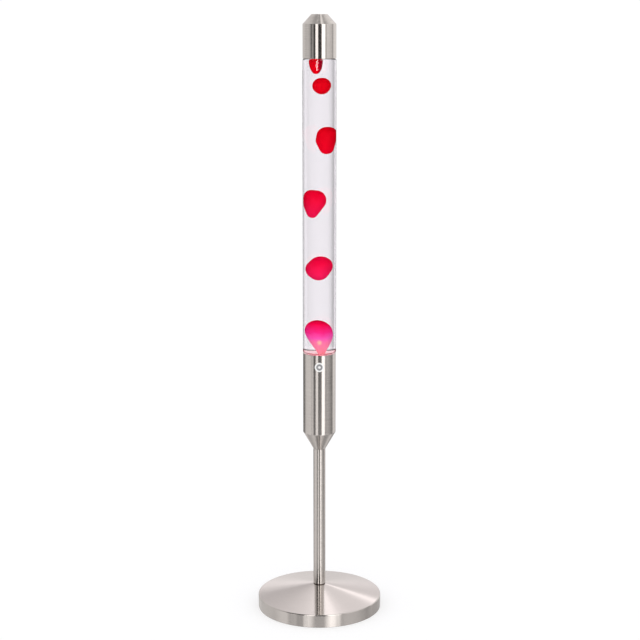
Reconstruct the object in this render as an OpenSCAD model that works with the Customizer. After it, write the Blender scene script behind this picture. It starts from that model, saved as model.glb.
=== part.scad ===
// Floor-standing lava lamp: a long glass bottle of wax and liquid between two
// steel cylinders, on a thin pole and a weighted round base.
// Millimetres. Origin on the floor, on the axis of the lamp; front is -Y.

/* [Base] */
// Diameter of the base cover
base_d = 230; // [190:1:280]
// Height of the base's rim above the floor
base_rim_h = 24.5; // [22:0.5:32]
// Rise of the cover from its rim to the pole
base_rise = 18.5; // [12:0.5:26]
// Sheet thickness of the base cover
cover_sheet = 1.2; // [0.8:0.1:1.6]
// Thickness of the cast ballast disc
ballast_t = 9.5; // [7:0.5:11]
// Bore of the rubber gland, for a round mains lead
gland_bore_d = 7; // [5:0.5:8]

/* [Pole] */
// Outside diameter of the pole
pole_d = 22.5; // [17:0.5:28]
// Wall thickness of the pole
pole_wall = 1.5; // [1:0.25:2]
// Length of the pole
pole_l = 265; // [180:1:400]

/* [Lamp housing] */
// Outside diameter of the housing and the cap
body_d = 60; // [50:1:75]
// Sheet thickness of the housing and the cap
body_sheet = 1.2; // [0.8:0.1:1.6]
// Length of the straight part of the housing
housing_l = 150; // [140:1:200]
// Length of the cone below it
housing_cone_l = 32; // [24:1:45]
// Depth of the socket that holds the bottle's foot
socket_depth = 28; // [20:1:36]
// Diameter of the plain emblem plate
emblem_d = 17; // [10:1:18]
// Distance from the housing's rim down to the emblem's centre
emblem_drop = 21.5; // [16:0.5:40]

/* [Bottle] */
// Length of glass that shows between housing and cap
glass_show = 532; // [380:1:640]
// Wall thickness of the glass
glass_wall = 2.2; // [1.6:0.1:3]
// How far the glass stands out beyond the housing and the cap
glass_proud = 0.2; // [0.1:0.1:0.6]
// Thickness of the glass floor
glass_floor = 4; // [3:0.5:6]
// Diameter of the filling neck
neck_d = 26; // [22:1:30]

/* [Cap] */
// Length of the straight part of the cap
cap_l = 60; // [56:1:80]
// Length of the cone above it
cap_cone_l = 17; // [12:0.5:24]
// Diameter of the flat top of the cap
cap_flat_d = 28.8; // [20:0.2:40]

/* [Light source] */
// Diameter of the capsule lamp
capsule_d = 12; // [9:0.5:14]
// Length of the capsule lamp, without its pins
capsule_l = 35; // [30:1:40]
// Length of the contact pins
pin_l = 7.5; // [6:0.5:9]
// Diameter of the contact pins
pin_d = 1.25; // [1:0.05:1.4]
// Distance between the contact pins
pin_pitch = 6.35; // [5:0.05:8]

/* [Wax] */
// Depth of the molten wax in the foot of the bottle
bed_depth = 18; // [12:1:20]
// Height of the rising bulb above the wax bed
bulb_rise = 67.5; // [50:0.5:80]

/* [Hidden] */
$fn = 96;

// Colours
steel = [0.72, 0.70, 0.68];
bright = [0.80, 0.79, 0.78];
iron = [0.16, 0.16, 0.17];
brass = [0.80, 0.62, 0.28];
black_rubber = [0.08, 0.08, 0.08];
cream = [0.90, 0.88, 0.82];
wax_red = [0.88, 0.03, 0.12];
wax_pink = [0.98, 0.22, 0.55];

// Clearances
fit = 0.05;         // a plug in a tube, a screw in its thread
slip = 0.2;         // parts that slide together by hand
soft_gap = 0.1;     // liquid and wax against the glass
wax_gap = 0.15;     // liquid round a piece of wax
through = 1;        // how far a cut runs past a face

// Base, from the floor up
cover_r = base_d / 2;
cover_edge_r = 2;
floor_gap = 0.5;
pad_t = 3;
pad_d = 16;
pad_count = 6;
pad_inset = 17;
pad_place_r = cover_r - pad_inset;
plate_t = 1.5;
plate_top = pad_t + plate_t;
plate_r = cover_r - cover_sheet - 1;
cover_fold = 0.4;   // how much deeper the sheet's inside turns at the rim
gland_notch_w = 20;
gland_notch_d = 6;
ballast_inset = 7;
ballast_r = cover_r - ballast_inset;
ballast_top = base_rim_h - cover_sheet - 0.5;
ballast_z = ballast_top - ballast_t;
foot_z = base_rim_h + base_rise;
foot_flat_r = pole_d / 2 + 0.8;
boss_top = foot_z - cover_sheet;
well_r = 20;
well_depth = 12.5;
well_top = ballast_z + well_depth;
hub_wall = 5;
post_r = 6;
post_inset = 30;
post_place_r = cover_r - post_inset;
post_angles = [30, 150, 270];
plate_screw_d = 4;
plate_screw_l = 12;
plate_screw_key = 2.5;
plate_screw_key_t = 1.2;
blind_depth = 1;    // how far a screw hole runs past its screw

// Threaded tube that ties the lamp together, and its nuts
stud_d = 10;
stud_bore = 7;
nut_af = 16;
nut_h = 4;
nut_r = nut_af / 2 / cos(30);
lock_t = 1.2;
lock_r = 9;
lock_split = 1;
washer_t = 1.5;
washer_r = 12;
bush_l = 18;
thread_grip = 15;
stud_reach = 1.5;   // how far a tube stands out of its nut
base_nut_z = well_top - washer_t - lock_t - nut_h;

// Gland, saddle and terminals in the wiring space
wiring_z = (plate_top + ballast_z) / 2;
gland_neck_r = gland_bore_d / 2 + 2;
gland_lip_r = gland_neck_r + 1.5;
gland_lip_t = 1.3;
gland_bevel = 0.5;
gland_slack = 0.35;  // room for the curve of the rim under the lips
saddle = [30, 9, 6];
saddle_inset = 40;
saddle_y = cover_r - saddle_inset;
saddle_bite = 0.3;  // how much the saddle squeezes the lead
saddle_pitch = 20;
block = [18, 16, 7.5];
block_x = -45;
block_pitch = 8;
sleeve_r = 2;
sleeve_wall = 0.8;
sleeve_inset = 1;   // from each face of the block
wiring_screw_d = 3;
wiring_screw_l = 6;
wiring_head_t = 1;
slot_w = 0.6;
slot_t = 0.5;
screw_head_t = 1.8;
lead_d = 4.5;

// Housing, bottle and cap, up the axis
body_r = body_d / 2;
inner_r = body_r - body_sheet;
pole_top = foot_z + pole_l;
housing_z = pole_top;
housing_shoulder = housing_z + housing_cone_l;
housing_top = housing_shoulder + housing_l;
cone_foot_r = pole_d / 2 + 0.4;
cone_slope = (body_r - cone_foot_r) / housing_cone_l;
cone_wall = body_sheet * sqrt(1 + cone_slope * cone_slope);
floor_t = max(2, (nut_r + 0.6 + cone_wall - cone_foot_r) / cone_slope);
housing_floor = housing_z + floor_t;
bottle_z = housing_top - socket_depth;
cap_z = housing_top + glass_show;
cap_shoulder = cap_z + cap_l;
cap_top = cap_shoulder + cap_cone_l;
rim_gap = 0.6;      // between the glass shoulders and the steel rims
rim_bevel = 0.3;    // broken edge of the rims

// Emblem plate, with a groove inside its rim
emblem_t = 1;
emblem_glue = 0.02;
emblem_rim = 1.6;
emblem_groove = 0.8;
emblem_groove_t = 0.3;

// Seat of the bottle
seat_t = 2;
ring_t = 3;
ring_w = 6.8;
ring_z = bottle_z - seat_t - ring_t;

// Lamp holder, hung below the seat of the bottle
capsule_room = 13;  // air between the capsule and the glass floor
holder = [34, 14, 12];
holder_top = bottle_z - capsule_room - capsule_l;
holder_z = holder_top - holder[2];
standoff_l = 12.5;
standoff_af = 5;
standoff_x = 13.5;
holder_plate_t = 1.5;
holder_plate_top = holder_z - standoff_l;
holder_plate_z = holder_plate_top - holder_plate_t;
holder_plate_r = inner_r - 6.8;
holder_screw_d = 3;
holder_screw_grip = 6;
holder_head_r = 2.6;
holder_slot_w = 0.8;
vent_r = 2.5;
vent_inset = 5;
standoff_tap = 3;   // solid metal at the foot of a standoff
standoff_pin = 1.5; // how far it reaches through the plate
contact_r = 1.5;
contact_lid = 2;    // ceramic left over the contacts
contact_grip = 0.08;
pin_play = 0.15;
reflector_t = 0.8;
reflector_floor_r = 17.5;
reflector_r = inner_r - 2.8;
reflector_h = 26;
reflector_mouth_r = capsule_d / 2 + 2;
pinch = [capsule_d - 1, 4, 8];
quartz_wall = 1.2;
capsule_gap = 0.1;  // over the holder
pin_embed = 4;      // length of the pins in the pinch
filament_x = 2.2;
filament_gap = 2.2; // over the pinch
filament_rise = 8;
filament_wire_r = 0.3;
filament_coil_r = 0.9;

// Glass: foot, tube, top and neck
tube_r = body_r + glass_proud;
bore_r = tube_r - glass_wall;
foot_r = inner_r - 0.8;
foot_bore_r = foot_r - glass_wall;
crest_r = inner_r - 1.8;
crest_bore_r = crest_r - glass_wall;
foot_corner = 3;
crest_corner = 6;
foot_step = tube_r - foot_r;
crest_step = tube_r - crest_r;
step_z = housing_top + rim_gap;
step_in = step_z + foot_step + glass_wall / 2;
crest_z = cap_z - rim_gap;
crest_in = crest_z - crest_step - glass_wall / 2;
shelf_z = cap_z + 24;
shelf_inner_r = neck_d / 2 + 2.5;
neck_fillet = 2.5;
neck_mouth = 1;     // chamfer from the shelf into the neck
neck_r = neck_d / 2;
neck_top = shelf_z + 24;
lip_h = 6;
lip_w = 1;
liner_t = 0.8;
crown_t = 0.5;
crown_skirt = 7;
crown_flare = 0.4;
liner_inset = 0.2;
air_gap = 2.8;      // between the liquid and the glass shelf
level_z = shelf_z - glass_wall - air_gap;
grip_r = crest_r + slip;
grip_drop = 20;
grip_flange = 2;

// Wax, heights from the floor, widths as shares of the bore
bed_z = bottle_z + glass_floor;
bed_top = bed_z + bed_depth;
bulb_top = bed_top + bulb_rise;
bulb_r = 0.665 * bore_r;
bulb_cap_h = 20;
bulb_mid = bulb_top - bulb_cap_h;
waist_r = 5;
waist_h = 2;        // straight height of the waist
waist_foot = 2.5;   // how far it widens into the bed
bulb_x = -0.035 * bore_r;
coil_wire_d = 4.4;
coil_ring_r = foot_bore_r - 5.8;
coil_gap = 0.15;
coil_fit = 0.12;    // room in the wax round the ring

// The wax that hangs below the cap
drip_w = 0.68;
drip_x = -0.17;
drip_below = 27;    // how far it reaches below the cap
drip_gap = 6.4;     // down to the next blob
drip_tip_h = 24;    // height of its rounded end
drip_edge = 4;      // bevel under the surface of the liquid

// One floating blob: height of its middle, sideways and forward place and width
// as shares of the bore, height in mm, how much fuller its top is than its
// bottom, and its tilt in degrees
blob_2_h = 29;
blob_2 = [cap_z - drip_below - drip_gap - blob_2_h / 2, 0.11, -0.10, 0.93, blob_2_h, 0.04, 10];
blob_3 = [housing_top + 0.729 * glass_show, 0.34, 0.06, 1.06, 48.6, 0.20, 4];
blob_4 = [housing_top + 0.516 * glass_show, -0.23, -0.08, 1.16, 51, 0.16, -10];
blob_5 = [housing_top + 0.295 * glass_show, -0.03, 0.05, 1.22, 45.5, 0.06, 24];

function arc(x, z, r, from, to, steps = 8) =
    [for (i = [0 : steps]) let (a = from + (to - from) * i / steps)
        [x + r * cos(a), z + r * sin(a)]];

module ring(r_out, r_in, z0, z1) {
    translate([0, 0, z0]) difference() {
        cylinder(r = r_out, h = z1 - z0);
        translate([0, 0, -through]) cylinder(r = r_in, h = z1 - z0 + 2 * through);
    }
}

module rod(r, z0, z1) {
    translate([0, 0, z0]) cylinder(r = r, h = z1 - z0);
}

module brick(size, z0) {
    translate([-size[0] / 2, -size[1] / 2, z0]) cube(size);
}

module hexagon(af, z0, z1) {
    translate([0, 0, z0]) cylinder(r = af / 2 / cos(30), h = z1 - z0, $fn = 6);
}

module pair(x) {
    for (side = [-1, 1]) translate([side * x, 0, 0]) children();
}

// ---------------------------------------------------------------- base

// Spun steel cover: a shallow cone with a turned-down rim
module base_cover() {
    drop = base_rise / (cover_r - foot_flat_r);
    lean = atan(drop);
    color(bright) difference() {
        rotate_extrude() polygon(concat(
            [[stud_d / 2 + slip, foot_z], [foot_flat_r, foot_z]],
            arc(cover_r - cover_edge_r, base_rim_h - cover_edge_r + drop * cover_edge_r,
                cover_edge_r, 90 - lean, 0),
            [[cover_r, floor_gap], [cover_r - cover_sheet, floor_gap],
             [cover_r - cover_sheet, base_rim_h - cover_sheet - cover_fold],
             [foot_flat_r, foot_z - cover_sheet], [stud_d / 2 + slip, foot_z - cover_sheet]]));
        translate([0, cover_r + through, wiring_z]) rotate([90, 0, 0])
            cylinder(r = gland_neck_r + fit, h = 10);
    }
}

// Cast ballast: a disc, a hub over the nut's well, a boss up to the cover, three posts
module ballast_disc() {
    color(iron) difference() {
        union() {
            rod(ballast_r, ballast_z, ballast_top);
            rod(well_r + hub_wall, ballast_z, well_top + hub_wall);
            rod(foot_flat_r - fit, ballast_z, boss_top);
            for (a = post_angles) rotate(a) translate([post_place_r, 0, 0])
                rod(post_r, plate_top, ballast_top);
        }
        rod(stud_d / 2 + slip, ballast_z - through, boss_top + through);
        rod(well_r, ballast_z - through, well_top);
        for (a = post_angles) rotate(a) translate([post_place_r, 0, 0])
            rod(plate_screw_d / 2 + fit, plate_top - through, pad_t + plate_screw_l + blind_depth);
        wiring_screw_places()
            rod(wiring_screw_d / 2 + fit, ballast_z - through, ballast_z + wiring_screw_l);
    }
}

// Steel plate that closes the base from below
module bottom_plate() {
    color(steel) difference() {
        rod(plate_r, pad_t, plate_top);
        translate([-gland_notch_w / 2, plate_r - gland_notch_d, pad_t - through])
            cube([gland_notch_w, gland_notch_d + through, plate_t + 2 * through]);
        for (a = post_angles) rotate(a) translate([post_place_r, 0, 0])
            rod(plate_screw_d / 2 + slip, pad_t - through, plate_top + through);
    }
}

module plate_screws() {
    color(steel) for (a = post_angles) rotate(a) translate([post_place_r, 0, 0]) difference() {
        union() {
            rod(plate_screw_d, pad_t - screw_head_t, pad_t);
            rod(plate_screw_d / 2, pad_t - screw_head_t, pad_t + plate_screw_l);
        }
        hexagon(plate_screw_key, pad_t - screw_head_t - through,
                pad_t - screw_head_t + plate_screw_key_t);
    }
}

module foot_pads() {
    color(black_rubber) for (i = [0 : pad_count - 1]) rotate(i * 360 / pad_count)
        translate([pad_place_r, 0, 0]) rod(pad_d / 2, 0, pad_t);
}

// Rubber gland in the back of the rim
module cord_gland() {
    inner_face = cover_sheet + gland_slack;
    color(black_rubber) translate([0, cover_r, wiring_z]) rotate([-90, 0, 0])
        rotate_extrude() polygon([
            [gland_bore_d / 2, -inner_face - gland_lip_t], [gland_lip_r, -inner_face - gland_lip_t],
            [gland_lip_r, -inner_face], [gland_neck_r, -inner_face],
            [gland_neck_r, 0], [gland_lip_r, 0],
            [gland_lip_r - gland_bevel, gland_lip_t], [gland_bore_d / 2, gland_lip_t]]);
}

// Screws of the saddle and of the terminal block
module wiring_screw_places() {
    translate([0, saddle_y, 0]) pair(saddle_pitch / 2) children();
    translate([block_x, 0, 0]) children();
}

module cord_saddle() {
    color(cream) translate([0, saddle_y, 0]) difference() {
        brick(saddle, ballast_z - saddle[2]);
        translate([0, saddle[1], ballast_z]) rotate([90, 0, 0])
            cylinder(r = gland_bore_d / 2 - saddle_bite, h = 2 * saddle[1]);
        pair(saddle_pitch / 2)
            rod(wiring_screw_d / 2 + slip, ballast_z - saddle[2] - through, ballast_z + through);
    }
}

module terminal_block() {
    color(cream) translate([block_x, 0, 0]) difference() {
        brick(block, ballast_z - block[2]);
        for (side = [-1, 1]) translate([0, side * block_pitch / 2, ballast_z - block[2] / 2])
            rotate([0, 90, 0]) cylinder(r = sleeve_r + fit, h = block[0] + 2 * through, center = true);
        rod(wiring_screw_d / 2 + slip, ballast_z - block[2] - through, ballast_z + through);
    }
}

module terminal_sleeves() {
    color(brass) translate([block_x, 0, ballast_z - block[2] / 2]) for (side = [-1, 1])
        translate([0, side * block_pitch / 2, 0]) rotate([0, 90, 0]) difference() {
            cylinder(r = sleeve_r, h = block[0] - 2 * sleeve_inset, center = true);
            cylinder(r = sleeve_r - sleeve_wall, h = block[0], center = true);
        }
}

module wiring_screws() {
    color(steel) {
        translate([0, saddle_y, 0]) pair(saddle_pitch / 2) wiring_screw(saddle[2]);
        translate([block_x, 0, 0]) wiring_screw(block[2]);
    }
}

module wiring_screw(grip) {
    head_z = ballast_z - grip;
    rod(wiring_screw_d / 2, head_z, ballast_z + wiring_screw_l - blind_depth);
    difference() {
        rod(wiring_screw_d * 0.75, head_z - wiring_head_t, head_z);
        translate([-wiring_screw_d, -slot_w / 2, head_z - wiring_head_t - through])
            cube([2 * wiring_screw_d, slot_w, through + slot_t]);
    }
}

// ---------------------------------------------------- pole and its joints

// Lower threaded tube: from the nut in the ballast up into the pole
module base_stud() {
    color(brass) ring(stud_d / 2, stud_bore / 2, base_nut_z - stud_reach, foot_z + thread_grip);
}

module base_washer() {
    color(steel) ring(washer_r, stud_d / 2 + slip, well_top - washer_t, well_top);
}

module lock_washers() {
    color(steel) {
        lock_washer(well_top - washer_t - lock_t);
        lock_washer(housing_floor);
        lock_washer(holder_plate_top);
    }
}

module lock_washer(z) {
    difference() {
        ring(lock_r, stud_d / 2 + slip, z, z + lock_t);
        translate([stud_d / 2 - through, -lock_split / 2, z - through])
            cube([lock_r, lock_split, lock_t + 2 * through]);
    }
}

module stud_nuts() {
    color(steel) {
        stud_nut(base_nut_z);
        stud_nut(housing_floor + lock_t);
        stud_nut(holder_plate_z - nut_h);
        stud_nut(holder_plate_top + lock_t);
    }
}

module stud_nut(z) {
    difference() {
        hexagon(nut_af, z, z + nut_h);
        rod(stud_d / 2 + fit, z - through, z + nut_h + through);
    }
}

// Turned plugs in the ends of the pole
module bush(z) {
    ring(pole_d / 2 - pole_wall - fit, stud_d / 2 + fit, z, z + bush_l);
}

module foot_bush() {
    color(steel) bush(foot_z);
}

module top_bush() {
    color(steel) bush(pole_top - bush_l);
}

module pole() {
    color(steel) ring(pole_d / 2, pole_d / 2 - pole_wall, foot_z, pole_top);
}

// Upper threaded tube: out of the pole, up the housing to the holder plate
module housing_stud() {
    color(brass) ring(stud_d / 2, stud_bore / 2, pole_top - thread_grip,
                      holder_plate_top + lock_t + nut_h + stud_reach);
}

// ------------------------------------------------------------- housing

module lamp_housing() {
    floor_r = cone_foot_r + cone_slope * floor_t - cone_wall;
    shoulder_in = housing_shoulder + (cone_wall - body_sheet) / cone_slope;
    color(steel) rotate_extrude() polygon([
        [stud_d / 2 + slip, housing_z], [cone_foot_r, housing_z],
        [body_r, housing_shoulder], [body_r, housing_top - rim_bevel], [body_r - rim_bevel, housing_top],
        [inner_r, housing_top], [inner_r, shoulder_in], [floor_r, housing_floor],
        [stud_d / 2 + slip, housing_floor]]);
}

// Plain round plate, curved to the housing
module emblem_plate() {
    seat_r = body_r + emblem_glue;
    ring_r = emblem_d / 2 - emblem_rim;
    z = housing_top - emblem_drop;
    color([0.95, 0.95, 0.95]) intersection() {
        ring(seat_r + emblem_t, seat_r, z - emblem_d, z + emblem_d);
        translate([0, 0, z]) rotate([90, 0, 0]) difference() {
            cylinder(d = emblem_d, h = 2 * body_r);
            translate([0, 0, seat_r + emblem_t - emblem_groove_t])
                ring(ring_r, ring_r - emblem_groove, 0, body_r);
        }
    }
}

module holder_plate() {
    color(steel) difference() {
        rod(holder_plate_r, holder_plate_z, holder_plate_top);
        rod(stud_d / 2 + slip, holder_plate_z - through, holder_plate_top + through);
        pair(standoff_x)
            rod(holder_screw_d / 2 + slip, holder_plate_z - through, holder_plate_top + through);
        for (a = [45 : 90 : 315]) rotate(a) translate([holder_plate_r - vent_inset, 0, 0])
            rod(vent_r, holder_plate_z - through, holder_plate_top + through);
    }
}

module standoffs() {
    color(brass) pair(standoff_x) difference() {
        union() {
            hexagon(standoff_af, holder_plate_top, holder_z);
            rod(holder_screw_d / 2, holder_plate_z - standoff_pin, holder_plate_top + through);
        }
        rod(holder_screw_d / 2 + fit, holder_plate_top + standoff_tap, holder_z + through);
    }
}

// Ceramic holder: two narrow pin holes over two contact wells
module lamp_holder() {
    color(cream) difference() {
        brick(holder, holder_z);
        pair(standoff_x) rod(holder_screw_d / 2 + slip, holder_z - through, holder_top + through);
        pair(pin_pitch / 2) {
            rod(pin_d / 2 + pin_play, holder_z - through, holder_top + through);
            rod(contact_r + fit, holder_z - through, holder_top - contact_lid);
        }
    }
}

module holder_contacts() {
    color(brass) pair(pin_pitch / 2)
        ring(contact_r, pin_d / 2 + contact_grip, holder_z, holder_top - contact_lid);
}

// Spun aluminium reflector, held down by the holder's screws
module reflector() {
    flare = (reflector_r - reflector_floor_r) / (reflector_h - reflector_t);
    color(bright) difference() {
        rotate_extrude() polygon([
            [reflector_mouth_r, holder_top], [reflector_floor_r, holder_top],
            [reflector_r, holder_top + reflector_h],
            [reflector_r - reflector_t * sqrt(1 + flare * flare), holder_top + reflector_h],
            [reflector_floor_r - reflector_t, holder_top + reflector_t],
            [reflector_mouth_r, holder_top + reflector_t]]);
        pair(standoff_x) rod(holder_screw_d / 2 + slip, holder_top - through, holder_top + 2 * through);
    }
}

module holder_screws() {
    seat = holder_top + reflector_t;
    color(steel) pair(standoff_x) {
        rod(holder_screw_d / 2, holder_z - holder_screw_grip, seat);
        difference() {
            rod(holder_head_r, seat, seat + screw_head_t);
            translate([-holder_head_r - 0.4, -holder_slot_w / 2, seat + holder_slot_w])
                cube([2 * holder_head_r + 0.8, holder_slot_w, screw_head_t]);
        }
    }
}

// Steel ring fixed in the housing, and the silicone ring that the bottle stands on
module support_ring() {
    color(steel) ring(inner_r, inner_r - ring_w, ring_z, ring_z + ring_t);
}

module seat_ring() {
    color([0.80, 0.80, 0.78]) ring(inner_r - 0.5, inner_r - ring_w, bottle_z - seat_t, bottle_z);
}

// Two-core lead: terminal block, middle of the base, up the pole to the holder
module inner_lead() {
    lead_z = ballast_z - block[2] / 2;
    block_face = block_x + block[0] / 2;
    color(cream) union() {
        rod(lead_d / 2, lead_z, holder_z);
        translate([0, 0, lead_z]) sphere(d = lead_d);
        translate([block_face, 0, lead_z]) rotate([0, 90, 0]) cylinder(d = lead_d, h = -block_face);
    }
}

// --------------------------------------------------------- capsule lamp

module capsule_glass() {
    capsule_z = holder_top + capsule_gap;
    tip = holder_top + capsule_l;
    r = capsule_d / 2;
    r_in = r - quartz_wall;
    body_z = capsule_z + pinch[2] - 1;
    color([0.93, 0.95, 0.97]) difference() {
        union() {
            brick(pinch, capsule_z);
            rotate_extrude() polygon(concat(
                [[0, body_z], [r - 2, body_z], [r, body_z + 3]],
                arc(0, tip - r, r, 0, 90)));
        }
        rotate_extrude() polygon(concat(
            [[0, body_z + 3], [r_in - 1, body_z + 3], [r_in, body_z + 5]],
            arc(0, tip - r, r_in, 0, 90)));
        pair(pin_pitch / 2) rod(pin_d / 2, capsule_z - through, capsule_z + pin_embed);
    }
}

module capsule_pins() {
    color(steel) pair(pin_pitch / 2) rod(pin_d / 2, holder_top - pin_l, holder_top + pin_embed);
}

// Filament across the capsule on two support wires
module capsule_filament() {
    wire_z = holder_top + pinch[2] + filament_gap;
    coil_z = wire_z + filament_rise;
    color(steel) union() {
        pair(filament_x) rod(filament_wire_r, wire_z, coil_z + filament_wire_r);
        translate([0, 0, coil_z]) rotate([0, 90, 0])
            cylinder(r = filament_coil_r, h = 2 * filament_x, center = true);
    }
}

// ----------------------------------------------------------- bottle

// Outline of what the glass holds, shrunk by gap, up to the neck
function inner_outline(gap) = concat(
    [[0, bed_z + gap]],
    arc(foot_bore_r - foot_corner, bed_z + foot_corner, foot_corner - gap, -90, 0, 6),
    [[foot_bore_r - gap, step_in - bore_r + foot_bore_r + gap]],
    arc(foot_bore_r, step_in, bore_r - foot_bore_r - gap, -90, 0, 6),
    arc(crest_bore_r, crest_in, bore_r - crest_bore_r - gap, 0, 90, 6),
    [[crest_bore_r - gap, crest_in + bore_r - crest_bore_r - gap]]);

module bottle_glass() {
    shelf_in = shelf_z - glass_wall;
    corner_in = crest_corner - 2;
    color([0.90, 0.95, 0.97, 0.3]) difference() {
        rotate_extrude() polygon(concat(
            [[0, bottle_z]],
            arc(foot_r - foot_corner, bottle_z + foot_corner, foot_corner, -90, 0, 6),
            arc(foot_r, step_z + foot_step, foot_step, -90, 0, 6),
            arc(crest_r, crest_z - crest_step, crest_step, 0, 90, 6),
            arc(crest_r - crest_corner, shelf_z - crest_corner, crest_corner, 0, 90, 6),
            [[shelf_inner_r, shelf_z], [neck_r, shelf_z + neck_fillet],
             [neck_r, neck_top - lip_h], [neck_r + lip_w, neck_top - lip_h + lip_w],
             [neck_r + lip_w, neck_top - lip_w], [neck_r, neck_top], [0, neck_top]]));
        rotate_extrude() polygon(concat(
            inner_outline(0),
            arc(crest_bore_r - corner_in, shelf_in - corner_in, corner_in, 0, 90, 6),
            [[neck_r - glass_wall + neck_mouth, shelf_in], [neck_r - glass_wall, shelf_in + neck_mouth],
             [neck_r - glass_wall, neck_top + through], [0, neck_top + through]]));
    }
}

module neck_liner() {
    color(cream) rod(neck_r + lip_w - liner_inset, neck_top, neck_top + liner_t);
}

// Pressed steel closure over the lip of the neck
module neck_crown() {
    in_r = neck_r + lip_w + fit;
    top = neck_top + liner_t;
    color(steel) rotate_extrude() polygon([
        [0, top], [in_r, top], [in_r + crown_flare, top - crown_skirt],
        [in_r + crown_flare + 1.4 * crown_t, top - crown_skirt], [in_r + crown_t, top],
        [in_r - 0.8, top + crown_t], [0, top + crown_t]]);
}

module liquid() {
    color([0.92, 0.93, 0.96, 0.2]) difference() {
        rotate_extrude() polygon(concat(inner_outline(soft_gap),
            [[crest_bore_r - soft_gap, level_z], [0, level_z]]));
        bed_shape(soft_gap, wax_gap);
        blobs(wax_gap);
    }
}

// Loose ring of wire in the wax bed that spreads the heat
module heating_coil() {
    color(steel) coil_ring(coil_wire_d / 2);
}

module coil_ring(r) {
    translate([0, 0, bed_z + coil_wire_d / 2 + coil_gap])
        rotate_extrude() translate([coil_ring_r, 0]) circle(r = r);
}

// -------------------------------------------------------------- wax

// Outline of the rising bulb and its waist, from the top down, grown by gap
function bulb_outline(gap) = concat(
    [for (i = [0 : 9]) let (a = 90 - i * 9)
        [(bulb_r + gap) * cos(a), bulb_mid + (bulb_cap_h + gap) * sin(a)]],
    [for (i = [0 : 12]) let (s = i / 12)
        [waist_r + gap + (bulb_r - waist_r) * pow(0.5 + 0.5 * cos(180 * s), 0.9),
         bulb_mid - s * (bulb_mid - bed_top - waist_h)]]);

module bed_shape(side_gap, gap) {
    bed_r = foot_bore_r - side_gap;
    union() {
        rotate_extrude() polygon(concat(
            [[0, bed_z + soft_gap - gap]],
            arc(foot_bore_r - foot_corner, bed_z + foot_corner,
                foot_corner - side_gap + gap, -90, 0, 6),
            [[bed_r + gap, bed_top + gap], [0, bed_top + gap]]));
        translate([bulb_x, 0, 0]) rotate_extrude() polygon(concat(
            bulb_outline(gap),
            [[waist_r + gap + waist_foot, bed_top + gap], [waist_r, bed_top - through],
             [0, bed_top - through]]));
    }
}

module wax_column() {
    color(wax_pink) difference() {
        bed_shape(soft_gap, 0);
        coil_ring(coil_wire_d / 2 + coil_fit);
    }
}

// An egg whose upper half is fuller by taper
module egg(w, h, taper, gap) {
    rotate_extrude() polygon([for (i = [0 : 20]) let (a = -90 + 9 * i)
        [(w / 2 + gap) * cos(a) * (1 + taper * sin(a) - taper * taper / 2), (h / 2 + gap) * sin(a)]]);
}

module floating(blob, gap) {
    translate([blob[1] * bore_r, blob[2] * bore_r, blob[0]])
        rotate([0, blob[6], 0]) egg(blob[3] * bore_r, blob[4], blob[5], gap);
}

// Wax that hangs from the surface of the liquid
module drip(gap) {
    r = drip_w * bore_r / 2 + gap;
    bottom = cap_z - drip_below - gap;
    top = level_z + soft_gap;
    translate([drip_x * bore_r, 0, 0]) rotate_extrude() polygon(concat(
        [[0, bottom]],
        [for (i = [1 : 8]) let (a = i * 11.25) [r * sin(a), bottom + drip_tip_h * (1 - cos(a))]],
        [[r, top - drip_edge], [r - drip_edge / 2, top], [0, top]]));
}

module blobs(gap) {
    drip(gap);
    for (blob = [blob_2, blob_3, blob_4, blob_5]) floating(blob, gap);
}

module wax_blob_1() {
    color(wax_red) intersection() {
        drip(0);
        rod(bore_r, cap_z - 2 * drip_below, level_z);
    }
}
module wax_blob_2() { color(wax_red) floating(blob_2, 0); }
module wax_blob_3() { color(wax_red) floating(blob_3, 0); }
module wax_blob_4() { color(wax_red) floating(blob_4, 0); }
module wax_blob_5() { color(wax_red) floating(blob_5, 0); }

// -------------------------------------------------------------- cap

module top_cap() {
    slope = (body_r - cap_flat_d / 2) / cap_cone_l;
    wall = body_sheet * sqrt(1 + slope * slope);
    shoulder_in = cap_shoulder - (wall - body_sheet) / slope;
    flat_in = cap_flat_d / 2 + slope * body_sheet - wall;
    color(steel) rotate_extrude() polygon([
        [0, cap_top], [cap_flat_d / 2, cap_top], [body_r, cap_shoulder],
        [body_r, cap_z + rim_bevel], [body_r - rim_bevel, cap_z], [inner_r, cap_z],
        [inner_r, shoulder_in], [flat_in, cap_top - body_sheet], [0, cap_top - body_sheet]]);
}

// Plastic ring in the cap: grips the glass and rests on its shelf
module cap_liner() {
    color([0.20, 0.20, 0.20]) rotate_extrude() polygon([
        [grip_r, shelf_z - grip_drop], [inner_r - fit, shelf_z - grip_drop],
        [inner_r - fit, shelf_z + grip_flange], [shelf_inner_r + 1, shelf_z + grip_flange],
        [shelf_inner_r + 1, shelf_z], [crest_r - crest_corner, shelf_z], [grip_r, shelf_z]]);
}

base_cover();
ballast_disc();
bottom_plate();
plate_screws();
foot_pads();
cord_gland();
cord_saddle();
terminal_block();
terminal_sleeves();
wiring_screws();
base_stud();
base_washer();
lock_washers();
stud_nuts();
foot_bush();
pole();
top_bush();
housing_stud();
lamp_housing();
emblem_plate();
holder_plate();
standoffs();
lamp_holder();
holder_contacts();
reflector();
holder_screws();
support_ring();
seat_ring();
inner_lead();
capsule_glass();
capsule_pins();
capsule_filament();
bottle_glass();
neck_liner();
neck_crown();
liquid();
heating_coil();
wax_column();
wax_blob_1();
wax_blob_2();
wax_blob_3();
wax_blob_4();
wax_blob_5();
top_cap();
cap_liner();
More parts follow.
